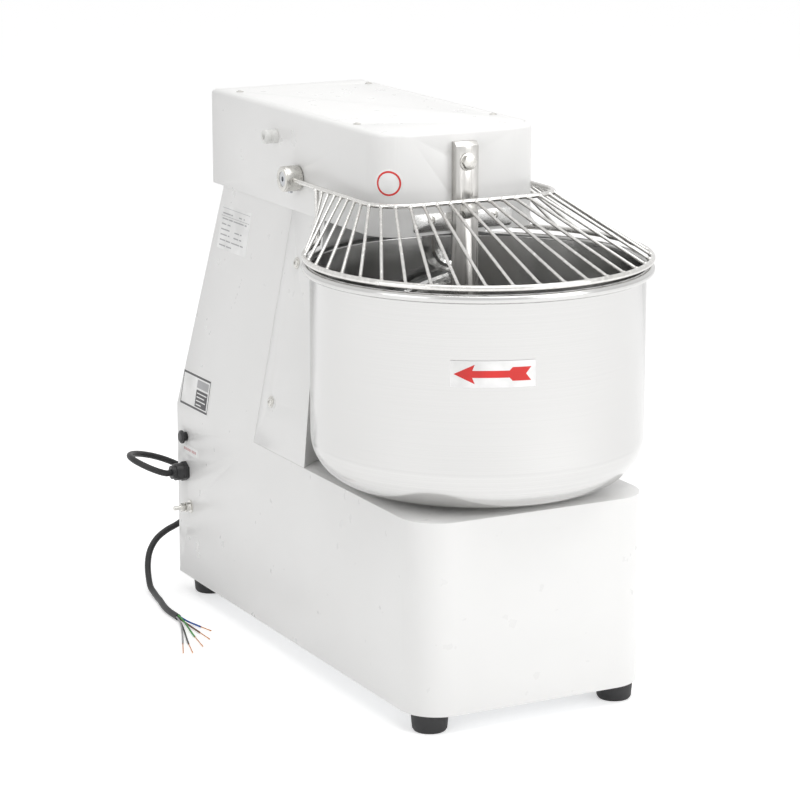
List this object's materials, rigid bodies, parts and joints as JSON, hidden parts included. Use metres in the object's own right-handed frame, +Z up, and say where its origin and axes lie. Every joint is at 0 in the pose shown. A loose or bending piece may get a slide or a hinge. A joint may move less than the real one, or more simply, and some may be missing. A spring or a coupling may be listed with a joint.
{
  "type": "spiral dough mixer",
  "caption": "Bench-top spiral dough mixer with a turning steel bowl, a driven spiral, a breaker bar and a hinged wire guard over the bowl.",
  "frame": {"origin": "on the floor under the middle of the machine's bounding box, without its supply cord", "axes": "+Z up, -Y towards the bowl and the user, +X to the right seen from the front"},
  "size_m": [0.4848, 0.8107, 0.686],
  "materials": {
    "cream_paint": "semi-gloss cream powder coat",
    "zinc_sheet": "zinc-plated sheet",
    "black_rubber": "matt black rubber",
    "zinc_screw": "bright zinc plating",
    "stainless": "satin stainless steel",
    "bowl_steel": "satin stainless steel with fine rings",
    "white_nylon": "natural white nylon",
    "shaft_steel": "ground bright steel",
    "cast_housing": "grey painted casting",
    "motor_aluminium": "grey painted cast aluminium",
    "bronze": "sintered bronze",
    "black_plastic": "black moulded plastic",
    "grey_plastic": "light grey moulded plastic",
    "green_plastic": "green moulded plastic",
    "red_plastic": "red moulded plastic",
    "brushed_plate": "brushed stainless plate",
    "label_film": "printed film, no text",
    "core_sleeve": "coloured core insulation",
    "copper_wire": "bare copper strand"
  },
  "bodies": {
    "machine": {"cabinet": "cream_paint", "base_floor": "zinc_sheet", "rubber_feet": "black_rubber", "front_cover": "cream_paint", "rear_cover": "cream_paint", "rear_screws": "zinc_screw", "side_screws": "zinc_screw", "head_shell": "cream_paint", "head_lid": "cream_paint", "lid_screws": "zinc_screw", "head_floor": "zinc_sheet", "splash_plate": "stainless", "splash_screws": "zinc_screw", "breaker_bar": "stainless", "bar_bolts": "zinc_screw", "stop_peg": "white_nylon", "bowl_housing": "cast_housing", "bowl_bearings": "shaft_steel", "spiral_housing": "cast_housing", "spiral_bearings": "shaft_steel", "lay_blocks": "cast_housing", "jack_block": "cast_housing", "motor": "motor_aluminium", "motor_stand": "zinc_sheet", "motor_belt": "black_rubber", "spiral_belt": "black_rubber", "jack_belt": "black_rubber", "bowl_belt": "black_rubber", "switch_box": "grey_plastic", "guard_bushes": "bronze", "guard_switch": "black_plastic", "cable_gland": "black_plastic", "earth_stud": "zinc_screw", "control_plate": "brushed_plate", "blank_labels": "label_film", "supply_cord": "black_rubber", "cord_cores": "core_sleeve", "core_tips": "copper_wire"},
    "bowl_set": {"bowl": "bowl_steel", "bowl_shaft": "shaft_steel", "bowl_pulley": "cast_housing", "arrow_label": "label_film"},
    "spiral_set": {"spiral_hook": "stainless", "spiral_shaft": "shaft_steel", "spiral_pulley": "cast_housing"},
    "lay_set": {"lay_shaft": "shaft_steel", "lay_pulley": "cast_housing", "lay_small_pulleys": "cast_housing"},
    "jack_set": {"jack_shaft": "shaft_steel", "jack_pulleys": "cast_housing"},
    "motor_set": {"motor_shaft": "shaft_steel", "motor_pulley": "cast_housing"},
    "guard": {"guard_frame": "stainless", "guard_wires": "stainless", "guard_bosses": "stainless", "guard_pins": "shaft_steel"},
    "reset": {"reset_button": "black_plastic"},
    "start": {"start_button": "green_plastic"},
    "stop": {"stop_button": "red_plastic"},
    "timer": {"timer_knob": "black_plastic"}
  },
  "joints": [
    {"name": "bowl_spin", "type": "hinge", "parent": "machine", "child": "bowl_set", "pos_m": [0, -0.1675, 0.3], "axis": [0, 0, -1], "continuous": true},
    {"name": "spiral_spin", "type": "hinge", "parent": "machine", "child": "spiral_set", "pos_m": [0, -0.0475, 0.6], "axis": [0, 0, -1], "continuous": true},
    {"name": "lay_spin", "type": "hinge", "parent": "machine", "child": "lay_set", "pos_m": [0, 0.09, 0.3], "axis": [0, 0, -1], "continuous": true},
    {"name": "jack_spin", "type": "hinge", "parent": "machine", "child": "jack_set", "pos_m": [0.0555, -0.03875, 0.1], "axis": [0, 0, -1], "continuous": true},
    {"name": "motor_spin", "type": "hinge", "parent": "machine", "child": "motor_set", "pos_m": [0, 0.22, 0.1], "axis": [0, 0, -1], "continuous": true},
    {"name": "guard_hinge", "type": "hinge", "parent": "machine", "child": "guard", "pos_m": [0, 0.0935, 0.602], "axis": [-1, 0, 0], "range_deg": [0, 136]},
    {"name": "reset_push", "type": "slide", "parent": "machine", "child": "reset", "axis": [1, 0, 0], "range_m": [0, 0.004], "stiffness_N_per_m": 300, "springref_m": -0.002},
    {"name": "start_push", "type": "slide", "parent": "machine", "child": "start", "axis": [-1, 0, 0], "range_m": [0, 0.004], "stiffness_N_per_m": 300, "springref_m": -0.002},
    {"name": "stop_push", "type": "slide", "parent": "machine", "child": "stop", "axis": [-1, 0, 0], "range_m": [0, 0.004], "stiffness_N_per_m": 300, "springref_m": -0.002},
    {"name": "timer_turn", "type": "hinge", "parent": "machine", "child": "timer", "pos_m": [0.162, 0.2275, 0.196], "axis": [1, 0, 0], "range_deg": [0, 300]}
  ],
  "couplings": [
    {"joint": "jack_spin", "follows": "bowl_spin", "ratio": 3},
    {"joint": "lay_spin", "follows": "bowl_spin", "ratio": 9},
    {"joint": "spiral_spin", "follows": "bowl_spin", "ratio": 9},
    {"joint": "motor_spin", "follows": "bowl_spin", "ratio": 27}
  ]
}
